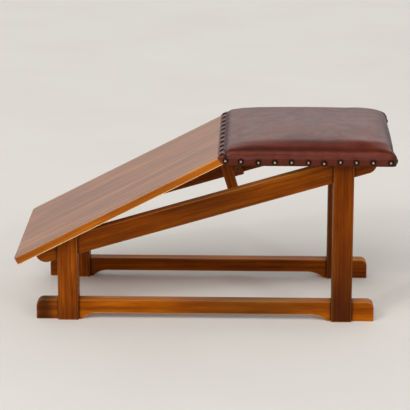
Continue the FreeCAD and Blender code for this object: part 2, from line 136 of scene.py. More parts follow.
# %% Floor
bpy.ops.mesh.primitive_plane_add(size=24.0)
floor = bpy.context.object
floor.name = "floor"
paint, tree, surface, place = new_material("pale floor paint, rolled")
cloudy = add(tree, "ShaderNodeTexNoise", {"Vector": place, "Scale": 3.0, "Detail": 4.0})
tone = add(tree, "ShaderNodeMix", {0: cloudy.outputs["Fac"], 6: colour("#DFDBD4"), 7: colour("#E8E5DF")},
           data_type="RGBA")
tree.links.new(tone.outputs[2], surface.inputs["Base Color"])
surface.inputs["Roughness"].default_value = 0.75
floor.data.materials.append(paint)

# %% World and soft boxes
world = bpy.data.worlds.new("studio")
bpy.context.scene.world = world
world.use_nodes = True
tree = world.node_tree
tree.nodes.clear()
height = add(tree, "ShaderNodeSeparateXYZ", {0: add(tree, "ShaderNodeTexCoord").outputs["Generated"]})
sky = add(tree, "ShaderNodeValToRGB", {0: height.outputs["Z"]})
sky.color_ramp.elements[0].position = 0.04
sky.color_ramp.elements[0].color = (0.30, 0.30, 0.30, 1.0)
sky.color_ramp.elements[1].position = 0.92
sky.color_ramp.elements[1].color = (0.20, 0.20, 0.20, 1.0)
lit_wall = ((0.11, 0.42), (0.16, 0.78), (0.24, 0.88), (0.36, 1.20), (0.46, 1.50), (0.60, 0.80), (0.75, 0.32))
for rise, level in lit_wall:
    sky.color_ramp.elements.new(rise).color = (level, 0.99 * level, 0.975 * level, 1.0)
light = add(tree, "ShaderNodeBackground", {"Color": sky.outputs["Color"], "Strength": 1.0})
add(tree, "ShaderNodeOutputWorld", {"Surface": light.outputs["Background"]})

soft_boxes = {"soft_box_left": ((-1.7, -2.5, 2.3), 14.0), "soft_box_right": ((2.1, -2.4, 2.2), 12.0)}
box_width = 0.22
middle_of_stool = Vector((0.0, 0.0, 0.25))
for name, (where, power) in soft_boxes.items():
    lamp = bpy.data.lights.new(name, "AREA")
    lamp.shape = "RECTANGLE"
    lamp.size = box_width
    lamp.size_y = box_width
    lamp.energy = power
    box = bpy.data.objects.new(name, lamp)
    bpy.context.scene.collection.objects.link(box)
    box.location = where
    box.rotation_euler = (middle_of_stool - Vector(where)).to_track_quat("-Z", "Y").to_euler()

lamp = bpy.data.lights.new("soft_sun", "SUN")
lamp.energy = 1.2
lamp.angle = math.radians(50.0)
sun = bpy.data.objects.new("soft_sun", lamp)
bpy.context.scene.collection.objects.link(sun)
sun.rotation_euler = Vector((0.35, 0.7, -0.8)).to_track_quat("-Z", "Y").to_euler()

# %% [markdown]
# ## Stained frame wood
#
# The frame is a close-grained hardwood, stained red-brown with the colour rubbed into the pores, then
# varnished. Wood is never one colour: it has rings a few millimetres apart that run the length of the
# piece, finer fibres between them, and patches where the stain took better. Each pattern is built in the
# piece's own grain direction, stretched far along the grain and only a few millimetres across it. Beside
# the joints the wood darkens, as dust and old polish and as the painted shadow of the proud legs; some
# pieces also carry painted shadow where the ramp shades them, some are darker towards the floor, and the
# arrises wear lighter.

# %% Patterns in the wood
# Each pattern's length and width in mm, its detail and its roughness: streaks of stain, fibres that are drawn
# coarser than the real 0.3 mm so that they show, and patches where the stain took better.
stain_patterns = {
    "streaks": (250.0, 9.0, 2.0, 0.5),
    "fibres": (40.0, 1.5, 4.0, 0.7),
    "patches": (160.0, 50.0, 2.0, 0.5),
}
# How much each pattern counts in the figure, next to the patches' whole share.
figure_shares = {"rings": 0.15, "streaks": 0.80, "fibres": 0.80}
figure_spread = 0.36
joint_dirt_and_shade = "#2A1006"
arris_width = 3.0 * MM


# %% Stained and varnished wood
def varnished_wood(name, grain, seed, tones, marks=(), shine=0.35, ring=6.0, pith=(0.05, 0.07), contrast=1.0,
                   wear=0.6, polish=0.0, sides=None, ior=1.15):
    """Gives stained hardwood whose grain runs along the X axis turned by grain (degrees about X, Y, Z).

    tones are the dark, the middle and the light of the stain, and the bare wood of a worn arris, which
    where it is near white is also a painted highlight; sides are the first three of these for the faces
    that don't look up. marks darken the wood in bands beside joints, under the ramp and towards the floor,
    some as dust and some as painted shadow: (direction, place along it in mm, reach in mm, strength).
    """
    material, tree, surface, place = new_material(name)
    turn = [math.radians(angle) for angle in grain]
    shift = (0.31 * seed, 0.0, 0.0)
    board = add(tree, "ShaderNodeMapping", {"Vector": place, "Rotation": turn}, vector_type="TEXTURE")
    board = add(tree, "ShaderNodeVectorMath", {0: board.outputs[0], 1: shift}, operation="ADD")

    # Growth rings: a few millimetres apart, drifting over 300 mm, round a pith that lies outside the piece.
    rings = add(tree, "ShaderNodeMapping", {"Vector": board.outputs[0], "Location": (0.0, pith[0], pith[1]),
                                            "Scale": (0.30, 0.02, 0.02)}, vector_type="TEXTURE")
    rings = add(tree, "ShaderNodeTexWave",
                {"Vector": rings.outputs[0], "Scale": 6.28 / ring, "Distortion": 7.0, "Detail": 4.0,
                 "Detail Scale": 1.2, "Detail Roughness": 0.6}, wave_type="RINGS", rings_direction="X")
    patterns = {"rings": rings.outputs["Fac"]}
    for kind, (length, width, detail, rough) in stain_patterns.items():
        grain_size = (length * MM, width * MM, width * MM)
        stretched = add(tree, "ShaderNodeMapping", {"Vector": board.outputs[0], "Scale": grain_size},
                        vector_type="TEXTURE")
        noise = add(tree, "ShaderNodeTexNoise", {"Vector": stretched.outputs[0], "Scale": 1.0,
                                                 "Detail": detail, "Roughness": rough})
        patterns[kind] = noise.outputs["Fac"]

    figure = patterns["patches"]
    for kind, share in figure_shares.items():
        figure = add(tree, "ShaderNodeMath", {0: patterns[kind], 1: share, 2: figure},
                     operation="MULTIPLY_ADD").outputs[0]
    middle = 0.5 * (1.0 + sum(figure_shares.values()))
    spread = figure_spread / contrast
    figure = add(tree, "ShaderNodeMapRange",
                 {"Value": figure, "From Min": middle - spread, "From Max": middle + spread})
    true_normal = add(tree, "ShaderNodeNewGeometry").outputs["Normal"]
    upward = add(tree, "ShaderNodeSeparateXYZ", {0: true_normal})
    upward = add(tree, "ShaderNodeMapRange", {"Value": upward.outputs["Z"], "From Min": 0.3, "From Max": 0.7})
    stains = []
    for dark, mid, light in (tones[:3], sides or tones[:3]):
        stain = add(tree, "ShaderNodeValToRGB", {0: figure.outputs["Result"]})
        stain.color_ramp.elements[0].color = colour(dark)
        stain.color_ramp.elements[1].color = colour(light)
        stain.color_ramp.elements.new(0.5).color = colour(mid)
        stains.append(stain.outputs["Color"])
    finish = add(tree, "ShaderNodeMix", {0: upward.outputs["Result"], 6: stains[1], 7: stains[0]},
                 data_type="RGBA").outputs[2]

    # Each mark darkens the wood towards one dark colour: dust in the joints, and painted shadow.
    for direction, at, reach, strength in marks:
        along = add(tree, "ShaderNodeVectorMath", {0: place, 1: direction}, operation="DOT_PRODUCT")
        away = add(tree, "ShaderNodeMath", {0: along.outputs["Value"], 1: at * MM}, operation="SUBTRACT")
        away = add(tree, "ShaderNodeMath", {0: away.outputs[0]}, operation="ABSOLUTE")
        dark_mark = add(tree, "ShaderNodeMapRange",
                   {"Value": away.outputs[0], "From Max": reach * MM, "To Min": strength, "To Max": 0.0},
                   interpolation_type="SMOOTHERSTEP")
        finish = add(tree, "ShaderNodeMix", {0: dark_mark.outputs["Result"], 6: finish, 7: colour(joint_dirt_and_shade)},
                     data_type="RGBA").outputs[2]

    # Worn arrises: the shader's own rounding of the edges tells where an edge is.
    eased = add(tree, "ShaderNodeBevel", {"Radius": arris_width}, samples=6)
    level = add(tree, "ShaderNodeVectorMath", {0: eased.outputs[0], 1: true_normal}, operation="DOT_PRODUCT")
    edge = add(tree, "ShaderNodeMapRange",
               {"Value": level.outputs["Value"], "From Min": 0.995, "From Max": 0.88, "To Max": wear})
    rubbed = add(tree, "ShaderNodeMapRange",
                 {"Value": patterns["streaks"], "From Min": 0.35, "From Max": 0.55, "To Min": 0.55})
    worn = add(tree, "ShaderNodeMath", {0: edge.outputs["Result"], 1: rubbed.outputs["Result"]},
               operation="MULTIPLY")
    finish = add(tree, "ShaderNodeMix", {0: worn.outputs[0], 6: finish, 7: colour(tones[3])},
                 data_type="RGBA").outputs[2]
    tree.links.new(finish, surface.inputs["Base Color"])

    dull = add(tree, "ShaderNodeMapRange", {"Value": patterns["patches"], "From Min": 0.3, "From Max": 0.7,
                                            "To Min": shine, "To Max": shine + 0.14})
    tree.links.new(dull.outputs["Result"], surface.inputs["Roughness"])
    surface.inputs["IOR"].default_value = ior
    # Hands, soles and wax polish what faces up.
    waxed = add(tree, "ShaderNodeMath", {0: upward.outputs["Result"], 1: polish}, operation="MULTIPLY")
    tree.links.new(waxed.outputs[0], surface.inputs["Coat Weight"])
    surface.inputs["Coat Roughness"].default_value = shine - 0.06
    surface.inputs["Coat IOR"].default_value = 1.5
    ripple = add(tree, "ShaderNodeBump",
                 {"Height": patterns["fibres"], "Distance": 0.10 * MM, "Strength": 0.3})
    tree.links.new(ripple.outputs["Normal"], surface.inputs["Normal"])
    return material


ALONG_X = (0.0, 0.0, 0.0)
ALONG_Y = (0.0, 0.0, 90.0)
UPRIGHT = (0.0, -90.0, 0.0)
ALONG_RAIL = (0.0, -16.5, 0.0)
ALONG_RAMP = (0.0, -27.3, 0.0)
ALONG_STRUT = (0.0, -106.5, 0.0)

# The frame's stains: tops is the lighter stain for its upper faces, and each of the others for the sides of
# some pieces.
tops = ("#86420C", "#A85E18", "#CA8A40", "#D49A58")
honey = ("#6C3000", "#924800", "#BA660A")
russet = ("#502200", "#723400", "#944C06")
chestnut = ("#562400", "#7E3B04", "#A65608")
# umber, the darkest stain, is partly painted shade: it goes to the far runner and the near tall leg, which
# stand in shade.
umber = ("#4C1E00", "#6E3000", "#8C4806")

# Dark marks, some of them painted shadow: the direction, the place along it in mm, the reach in mm and the
# strength.
# Beside the legs: the painted shadow that each proud leg casts on the rail or runner beside it, with dust in
# the joint.
beside_legs = [((1, 0, 0), x, 5.0, 0.75) for x in (-276.5, -238.5, 238.5, 276.5)]
# On the near runner: its end under the ramp is darkened partly as stain and partly as painted shadow, and its
# middle is darker.
on_runner = [((1, 0, 0), -305.0, 36.0, 0.85), ((1, 0, 0), 80.0, 225.0, 0.62)]
# On the near sloped rail: the ramp's painted shadow.
on_rail = [((1, 0, 0), 10.0, 130.0, 0.38)]
# On the legs: darker towards the floor.
on_short_leg = [((0, 0, 1), 0.0, 60.0, 0.3)]
on_tall_leg = [((0, 0, 1), 0.0, 260.0, 0.62)]
wood = {
    "runner_left": (ALONG_X, honey, beside_legs + on_runner),
    "runner_right": (ALONG_X, umber, beside_legs),
    "sloped_rail_left": (ALONG_RAIL, russet, beside_legs + on_rail),
    "sloped_rail_right": (ALONG_RAIL, russet, beside_legs),
    "short_leg_left": (UPRIGHT, chestnut, on_short_leg),
    "short_leg_right": (UPRIGHT, chestnut, ()),
    "tall_leg_left": (UPRIGHT, umber, on_tall_leg),
    "tall_leg_right": (UPRIGHT, russet, on_tall_leg),
    "strut_left": (ALONG_STRUT, russet, ()),
    "strut_right": (ALONG_STRUT, russet, ()),
    "front_cross_rail": (ALONG_Y, russet, ()),
    "back_cross_rail": (ALONG_Y, russet, ()),
    "joint_bearer": (ALONG_Y, russet, ()),
}
for seed, (node, (grain, tones, marks)) in enumerate(wood.items()):
    bpy.data.objects[node].material_slots[0].material = varnished_wood(
        "stained hardwood, varnished, " + node, grain, seed, tops, marks, sides=tones)
print("Stained pieces:", len(wood))

# %% [markdown]
# ## The ramp board
#
# The ramp is one wide plain-sawn board of the same wood, less stained and more worn: soles have rubbed its
# varnish to satin, and its long arrises are bare in places. Their near-white tone, at full strength, is
# also a painted highlight along those arrises.

# %% Ramp finish
# The last tone, near white, is the bare arris and also its painted highlight; the arris mark is at full
# strength.
ramp_tones = ("#7C4826", "#9C6540", "#B68058", "#FFDCA8")
bpy.data.objects["ramp_board"].material_slots[0].material = varnished_wood(
    "plain-sawn board, satin varnish, worn", ALONG_RAMP, 20, ramp_tones, shine=0.30, ring=9.0,
    pith=(0.02, -0.11), contrast=0.9, wear=1.0, polish=0.5, sides=("#824000", "#A85A00", "#C67410"), ior=1.26)

# %% [markdown]
# ## The seat board
#
# Under the leather is a plain board that nobody was meant to see. It has no stain, so its wood is paler,
# and it is left as it came off the saw.

# %% Seat board finish
plain_tones = ("#8C6A46", "#A98559", "#BF9C6E", "#CDB088")
bpy.data.objects["seat_board"].material_slots[0].material = varnished_wood(
    "plain softwood board, sawn", ALONG_X, 30, plain_tones, shine=0.62, ring=5.0)

# %% [markdown]
# ## The padded seat
#
# Upholstery is a skin pulled over a stuffed pad. The CAD solids give the space that the pad and its leather
# fill, so the form starts as a closed copy of them, remeshed into even squares of cloth and drawn in a
# little. Cloth simulation then blows it up from inside, as stuffing does, while the band where the nails go
# is held still. Each point's move is averaged with its neighbours', so that no square bulges by itself, and
# none may be more than about two millimetres, so the seat keeps its size. The form first reaches past the
# board's underside and its ramp end, so that it can be cut off crisply there.

# %% Helpers for a mesh's points
def points_of(piece):
    """Gives a mesh's points as an array."""
    flat = np.empty(len(piece.data.vertices) * 3)
    piece.data.vertices.foreach_get("co", flat)
    return flat.reshape(-1, 3)


def normals_of(piece):
    """Gives the direction that each point of a mesh faces."""
    flat = np.empty(len(piece.data.vertices) * 3)
    piece.data.vertices.foreach_get("normal", flat)
    return flat.reshape(-1, 3)


def move_points(piece, points):
    """Puts a mesh's points at these places."""
    piece.data.vertices.foreach_set("co", points.ravel())
    piece.data.update()


def ease(values, low, high):
    """Rises smoothly from 0 at low to 1 at high."""
    share = np.clip((values - low) / (high - low), 0.0, 1.0)
    return share * share * (3 - 2 * share)


def fade(values, low, high):
    """Falls smoothly from 1 at low to 0 at high."""
    return 1 - ease(values, low, high)


def hump(values, middle, reach):
    """Gives a smooth bump, 1 at the middle and near 0 at twice the reach."""
    return np.exp(-((values - middle) / reach) ** 2)


# %% The form of the seat
seat_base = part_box("seat_board")[0].z
board_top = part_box("seat_board")[1].z
board_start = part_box("seat_board")[0].x
ramp_slope = math.radians(27.3)
along_ramp = Vector((math.cos(ramp_slope), 0.0, math.sin(ramp_slope)))
joint = Vector((board_start, 0.0, board_top))
spare = 8.0 * MM
close = 0.3 * MM

form = bmesh.new()
for node in ("seat_cover", "seat_padding", "seat_board"):
    form.from_mesh(bpy.data.objects[node].data)
bmesh.ops.remove_doubles(form, verts=form.verts, dist=1e-6)
bmesh.ops.bisect_plane(form, geom=form.verts[:] + form.edges[:] + form.faces[:], plane_co=joint,
                       plane_no=Vector((-1, 0, 0)), clear_outer=True)
bmesh.ops.holes_fill(form, edges=form.edges[:], sides=0)
for point in form.verts:
    if abs((point.co - joint).dot(along_ramp)) < close:
        point.co -= along_ramp * spare
    if point.co.z < seat_base + close:
        point.co.z -= spare
mesh = bpy.data.meshes.new("leather_cover")
form.to_mesh(mesh)
form.free()
cover = bpy.data.objects.new("leather_cover", mesh)
bpy.context.scene.collection.objects.link(cover)
even = cover.modifiers.new("even squares", "REMESH")
even.mode = "VOXEL"
even.voxel_size = 4.0 * MM
apply_all(cover)
print("Cloth points:", len(cover.data.vertices))

# %% Fill the seat
drawn_in = 1.2 * MM
largest_move = 2.2 * MM
full = points_of(cover)
above_band = ease(full[:, 2], board_top - 1.0 * MM, board_top + 6.0 * MM)
above_band *= ease(full[:, 0], 40.0 * MM, 52.0 * MM)
start = full - normals_of(cover) * (drawn_in * above_band)[:, None]
move_points(cover, start)

held = cover.vertex_groups.new(name="nailed band")
for index in np.nonzero(above_band < 0.5)[0]:
    held.add([int(index)], 1.0, "REPLACE")

stuffing = cover.modifiers.new("stuffing", "CLOTH")
stuffing.settings.quality = 5
stuffing.settings.mass = 0.4
stuffing.settings.tension_stiffness = 30.0
stuffing.settings.compression_stiffness = 30.0
stuffing.settings.bending_stiffness = 6.0
stuffing.settings.use_pressure = True
stuffing.settings.uniform_pressure_force = 4.0
stuffing.settings.vertex_group_mass = held.name
stuffing.settings.effector_weights.gravity = 0.0
for step in range(1, 21):
    bpy.context.scene.frame_set(step)
apply_all(cover)
bpy.context.scene.frame_set(1)
moved = points_of(cover) - start
threads = np.empty(len(cover.data.edges) * 2, dtype=int)
cover.data.edges.foreach_get("vertices", threads)
one_end, other_end = threads.reshape(-1, 2).T
neighbours = np.bincount(threads, minlength=len(start))[:, None]
for _ in range(30):
    around = np.zeros_like(moved)
    np.add.at(around, one_end, moved[other_end])
    np.add.at(around, other_end, moved[one_end])
    moved = 0.5 * moved + 0.5 * around / neighbours
moved *= above_band[:, None]
reach = np.linalg.norm(moved, axis=1)
print("Swell in mm, largest and mean:", round(reach.max() / MM, 2), round(reach.mean() / MM, 2))
moved *= (np.minimum(reach, largest_move) / np.maximum(reach, 1e-9))[:, None]
move_points(cover, start + moved)

# %% Rounder squares
crown = cover.vertex_groups.new(name="crown")
for index in np.nonzero(points_of(cover)[:, 2] > 330.0 * MM)[0]:
    crown.add([int(index)], 1.0, "REPLACE")
for group, times in (("", 2), (crown.name, 14)):
    smooth = cover.modifiers.new("soften", "SMOOTH")
    smooth.factor = 0.5
    smooth.iterations = times
    smooth.vertex_group = group
finer = cover.modifiers.new("finer cloth", "SUBSURF")
finer.levels = 1
finer.render_levels = 1
apply_all(cover)

# %% [markdown]
# ## The crown
#
# The filled form still shows how its squares happened to buckle, but a real seat's skin is pulled tight. So
# the crown is set to its height, its long edges roll down over the sides, most of all towards the free end,
# and the free end stands square and plump. A smooth dome is then fitted through the crown's points, and
# irons out the dents.

# %% Settle the crown
crown_above_solid, edge_roll, free_end_roll, free_end_rise, corner_sink = 2.9, 2.6, 3.6, 5.6, 1.8
plump_out, plump_sideways = 2.0, 2.2
points = points_of(cover) / MM
x, y, z = points.T  # views of the points, which follow each change
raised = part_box("seat_cover")[1].z / MM + crown_above_solid - z.max()
rolled = (edge_roll + free_end_roll * ease(x, 258, 316)) * ease(np.abs(y), 122, 166)
sunk = corner_sink * ease(np.abs(y), 135, 165) * fade(x, 36, 75)
squared = free_end_rise * ease(x, 265, 325) * fade(x, 340, 354)
z += (raised - rolled - sunk + squared) * ease(z, 322, 334)
plump = hump(z, 334, 8)
x += plump_out * plump * ease(x, 326, 345)
y += np.sign(y) * plump_sideways * plump * ease(np.abs(y), 135, 164) * ease(x, 36, 60)
print("Crown raised by mm:", round(raised, 2))

# %% Iron out the dents
taut = ease(z, 334, 338) * ease(x, 46, 75) * fade(x, 322, 345) * fade(np.abs(y), 118, 142)
length_share, width_share = (x - 190) / 160, y / 170
terms = [length_share ** i * width_share ** j for i in range(7) for j in (0, 2, 4, 6, 8)]
dome = np.stack(terms, axis=1)
weights, *_ = np.linalg.lstsq(dome * taut[:, None], z * taut, rcond=None)
ironed = 0.9 * taut * (dome @ weights - z)
z += ironed
move_points(cover, points * MM)
print("Dents ironed out, mm at most:", round(np.abs(ironed).max(), 2))

# %% [markdown]
# ## Padding under the leather
#
# The padding fills the leather and lies flat on the seat board. It is a copy of the filled form before the
# leather's fine folds are pressed in, drawn in by three millimetres for the leather and those folds, and cut
# off at the board.

# %% Padding
under_leather = 3.0 * MM
padding = bpy.data.objects.new("cotton_padding", cover.data.copy())
bpy.context.scene.collection.objects.link(padding)
move_points(padding, points_of(padding) - normals_of(padding) * under_leather)
select_only(padding)
bpy.ops.object.mode_set(mode="EDIT")
cuts = (((0, 0, board_top + close), (0, 0, -1)), ((board_start + 8 * MM, 0, 0), (-1, 0, 0)))
for face_of_board, outward in cuts:
    bpy.ops.mesh.select_all(action="SELECT")
    bpy.ops.mesh.bisect(plane_co=face_of_board, plane_no=outward, clear_outer=True, use_fill=True)
bpy.ops.object.mode_set(mode="OBJECT")
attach(padding, "root")
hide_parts("seat_padding")

# %% Cotton wadding
wadding, tree, surface, place = new_material("cotton wadding, carded")
tufts = add(tree, "ShaderNodeTexNoise", {"Vector": place, "Scale": 160.0, "Detail": 5.0})
tone = add(tree, "ShaderNodeMix", {0: tufts.outputs["Fac"], 6: colour("#CFC4AE"), 7: colour("#E6DFCE")},
           data_type="RGBA")
tree.links.new(tone.outputs[2], surface.inputs["Base Color"])
surface.inputs["Roughness"].default_value = 0.95
fluff = add(tree, "ShaderNodeBump", {"Height": tufts.outputs["Fac"], "Distance": 1.0 * MM, "Strength": 0.6})
tree.links.new(fluff.outputs["Normal"], surface.inputs["Normal"])
padding.data.materials.append(wadding)

# %% [markdown]
# ## Nails pull the leather in
#
# Each dome nail pins the leather to the edge of the board, and between two nails the leather stands out in
# a shallow swell. Just above the row the leather folds into a ridge, and over that runs a crease where the
# padding starts to push outwards. At the free corners the spare leather is folded under, which leaves
# pleats. These are finer than the cloth's squares, so they are pressed in after the simulation, in
# millimetres. The same folds, the lower edge and rings round the nails say where shade is painted into the
# leather's colour, with some wax and dust. That is stored on the mesh, for the leather's material to read.

# %% Where the nails are
nails_in_row = 11
nail_height = 316.0
side_face = 168.3
side_nails = np.linspace(38.44, 342.5, nails_in_row)
side_drifts = np.array((0.0, -1.8, 0.0, 0.0, 0.0, 0.5, -1.1, -1.8, -2.9, -2.7, -0.5))
side_lifts = np.array((2.7, 1.3, -0.4, 0.0, 0.4, 0.0, -1.3, 1.1, 0.8, 0.6, 0.6))
left_nails = side_nails + side_drifts
right_nails = side_nails - side_drifts[::-1]
end_nails = np.linspace(-154.0, 154.0, nails_in_row)
flap_nails = np.linspace(-160.0, 160.0, nails_in_row)
flap_step = flap_nails[1] - flap_nails[0]
gather_drifts = np.array((0.9, -1.6, 0.4, 1.8, -0.6, -1.9, 1.2, 0.2, -1.1, 1.5))
gathers = flap_nails[:-1] + flap_step / 2 + gather_drifts


def nearest(values, places):
    """Gives how far each value is from the nearest of these places."""
    return np.abs(values[:, None] - places[None, :]).min(axis=1)


# %% Swells, ridge and crease along the band
swell_height, ridge_height, crease_depth, tuck_depth, rim_depth = 0.9, 1.0, 1.0, 0.6, 0.7
points = points_of(cover) / MM
facing = normals_of(cover)
x, y, z = points.T
on_side = np.abs(facing[:, 1]) > np.abs(facing[:, 0])
gap_on_side = np.where(y < 0, nearest(x, left_nails), nearest(x, right_nails))
gap = np.where(on_side, gap_on_side, nearest(y, end_nails))
along = np.where(on_side, x, y)
wander = 0.7 * np.sin(along / 17.0) + 0.5 * np.sin(along / 7.3 + 1.0)
upright = ease(np.hypot(facing[:, 0], facing[:, 1]), 0.45, 0.85)
free = ease(gap, 3, 11)
swell = swell_height * free * ease(z, 308, 313) * fade(z, 318, 323)
ridge = ridge_height * (0.45 + 0.55 * free) * hump(z, 321.8 + wander, 1.4)
crease = crease_depth * hump(z, 327.0 + wander, 2.2)
tuck = tuck_depth * fade(gap, 0, 9) * hump(z, 330.0, 5.0)
rim = rim_depth * fade(z, 309, 312)
points += facing * ((swell + ridge - crease - tuck - rim) * upright)[:, None]

# %% Puckers at the ramp end
pucker_height = 0.9
ramp_end = ease(-facing[:, 0], 0.5, 0.8) * fade(x, 41, 46)
pucker = np.cos(2 * math.pi * (y - flap_nails[0]) / flap_step + 0.5 * np.sin(y / 23.0))
points -= facing * (pucker_height * pucker * ramp_end * ease(z, 329, 333))[:, None]

# %% Folds and pleats at the free corners
fold_depth, pleat_height, lobe_height = 1.3, 0.8, 1.6
free_corner = ease(x, 338, 346) * ease(np.abs(y), 138, 148)
fold_edge = fold_depth * hump(np.abs(y), 145.4, 1.6) * ease(x, 343, 347) * fade(z, 333, 338)
turn = np.arctan2(z - 318.0, np.abs(y) - 150.0)
pleats = pleat_height * np.cos(turn * 9.0) * free_corner * ease(z, 322, 326) * fade(z, 334, 342)
lobe = lobe_height * hump(z, 329.0, 5.0) * ease(x, 335, 346) * ease(np.abs(y), 146, 158)
points += facing * (pleats * upright - fold_edge + lobe)[:, None]

# %% Room for the flap that is laid over the joint
room_for_flap = 1.3
z -= room_for_flap * fade(x, 36, 38) * ease(z, 325, 326) * fade(np.abs(y), 164.0, 166.5)
move_points(cover, points * MM)


# %% Where shade is painted, with wax and dust
def write_shade_and_grime(piece, amounts):
    """Stores how much painted shade, with some wax and dust, each point of a mesh gets, from 0 to 1."""
    grime_and_shade = piece.data.attributes.new("grime_and_shade", "FLOAT", "POINT")
    grime_and_shade.data.foreach_set("value", np.clip(amounts, 0.0, 1.0))


left_row = np.column_stack((left_nails, nail_height + side_lifts))
right_row = np.column_stack((right_nails, nail_height + side_lifts[::-1]))
end_row = np.column_stack((end_nails, np.full(nails_in_row, nail_height)))
to_nail = np.full(len(points), 1000.0)
rows = ((left_row, on_side & (y < 0)), (right_row, on_side & (y > 0)), (end_row, ~on_side & (x > 200)))
for row, there in rows:
    spots = np.column_stack((along[there], z[there]))
    to_nail[there] = np.linalg.norm(spots[:, None, :] - row[None, :, :], axis=2).min(axis=1)
# Painted shade: a contact shadow round each nail, shade in the crease, along the lower edge and the nailed
# band, on the fold of the edge, in the joint at the ramp end and in the folded corners.
shade_round_nails = 0.8 * fade(to_nail, 4.5, 8.0)
shade_in_crease = 0.3 * hump(z, 325.2 + wander, 2.6) * upright
shade_on_rim = 0.25 * fade(z, 309.0, 312.5) + 0.45 * fade(z, 320, 327)
shade_on_fold = 0.95 * hump(facing[:, 2], 0.62, 0.26) * ease(z, 331, 338)
between_gathers = 1 - 0.75 * hump(nearest(y, gathers), 0.0, 4.0)
shade_in_joint = 0.9 * hump(x, 37.4, 1.3) * ease(z, 328, 330) * between_gathers
shade_in_corner = 0.6 * ease(fold_edge, 0.2, 0.8) + 0.35 * free_corner
write_shade_and_grime(cover, shade_round_nails + shade_in_crease + shade_on_rim + shade_on_fold + shade_in_joint + shade_in_corner)


# %% Cut the leather off at the board and give it its thickness
def thicken(skin, thickness):
    """Gives a skin its thickness, towards the inside."""
    solid = skin.modifiers.new("leather thickness", "SOLIDIFY")
    solid.thickness = thickness
    solid.offset = -1.0
    apply_all(skin)


select_only(cover)
bpy.ops.object.mode_set(mode="EDIT")
for place, outward in (((0.0, 0.0, seat_base), (0.0, 0.0, -1.0)), (joint, -along_ramp)):
    bpy.ops.mesh.select_all(action="SELECT")
    bpy.ops.mesh.bisect(plane_co=place, plane_no=outward, clear_outer=True)
bpy.ops.object.mode_set(mode="OBJECT")
thicken(cover, 1.2 * MM)

# %% [markdown]
# ## The flap at the joint
#
# Where the seat meets the ramp the leather comes down off the pad, over the joint, and ends on the ramp. A
# close row of nails holds it, it gathers between them, and its two ends are turned down over the ramp's long
# edges. The flap is a strip of leather, so it starts as a fine grid that is laid along its path, then
# gathered between the nails and given its thickness.

# %% Lay the strip over the joint
flap_length, strip_half_width, board_half_width = 19.0, 175.0, 167.4
bpy.ops.object.select_all(action="DESELECT")
bpy.ops.mesh.primitive_grid_add(x_subdivisions=14, y_subdivisions=220, size=1.0)
flap = bpy.context.object
strip = points_of(flap)
down = (strip[:, 0] + 0.5) * flap_length
across = strip[:, 1] * 2 * strip_half_width
turned_down = np.maximum(np.abs(across) - board_half_width, 0.0)
across = np.clip(across, -board_half_width, board_half_width)
bends = (0.0, 13.7, flap_length)
laid_x = np.interp(down, bends, (24.6, 36.8, 38.6))
laid_z = np.interp(down, bends, (324.1, 330.4, 335.6))
laid = np.stack((laid_x, across, laid_z), axis=1)

# %% Gather it between the nails and turn its ends down
gather_swell, gather_pinch = 1.1, 0.9
from_nail = nearest(across, flap_nails)
from_gather = nearest(across, gathers)
gathered = gather_swell * ease(from_nail, 3, 9) + gather_pinch * hump(from_gather, 0.0, 2.0)
gathered *= ease(down, -2, 6) * fade(down, 12, 16)
off_ramp = np.array((-math.sin(ramp_slope), 0.0, math.cos(ramp_slope)))
laid += off_ramp[None, :] * gathered[:, None]
laid[:, 0] -= 0.7 * hump(from_nail, 0.0, 6.0) * fade(down, 0, 5)
laid[:, 1] += np.sign(across) * 1.9 * ease(turned_down, -0.5, 1.6)
laid[:, 2] -= turned_down * (0.3 + 2.2 * ease(down, 0, 13))
laid[:, 2] -= 5.5 * ease(np.abs(across), 145, 167) * ease(down, 13, flap_length)
move_points(flap, laid * MM)
# Painted shade on the flap: a contact shadow round each nail, and shade in the valley at its top, broken by
# the gathers.
shade_round_flap_nails = 0.8 * fade(np.hypot(from_nail, down - 7.4), 4.0, 7.5)
shade_in_gathers = ease(down, 11.5, 13.5) * (1 - 0.85 * hump(from_gather, 0.0, 3.5))
write_shade_and_grime(flap, shade_round_flap_nails + shade_in_gathers)
thicken(flap, 0.95 * MM)

# %% Join cover and flap
select_only(cover, flap)
bpy.ops.object.join()
cover.data.shade_smooth()
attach(cover, "root")
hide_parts("seat_cover")
print("Leather cover faces:", len(cover.data.polygons))

# %% [markdown]
# ## Burgundy leather
#
# Upholstery hide is dyed right through and then sealed. Its grain is a net of small rounded cells about a
# millimetre across, with softer wrinkles a few centimetres long where people have sat. The seal gives a low
# satin shine that turns grey where it shows the pale room.

# %% Leather
leather, tree, surface, place = new_material("upholstery hide, dyed and sealed")
pebbles = add(tree, "ShaderNodeTexVoronoi", {"Vector": place, "Scale": 800.0}, feature="SMOOTH_F1")
wrinkles = add(tree, "ShaderNodeTexNoise", {"Vector": place, "Scale": 42.0, "Detail": 4.0, "Roughness": 0.55,
                                            "Distortion": 0.6})
dye = add(tree, "ShaderNodeTexNoise", {"Vector": place, "Scale": 22.0, "Detail": 5.0, "Roughness": 0.6})
tone = add(tree, "ShaderNodeValToRGB", {0: dye.outputs["Fac"]})
tone.color_ramp.elements[0].position = 0.3
tone.color_ramp.elements[0].color = colour("#50190B")
tone.color_ramp.elements[1].position = 0.7
tone.color_ramp.elements[1].color = colour("#6C2812")
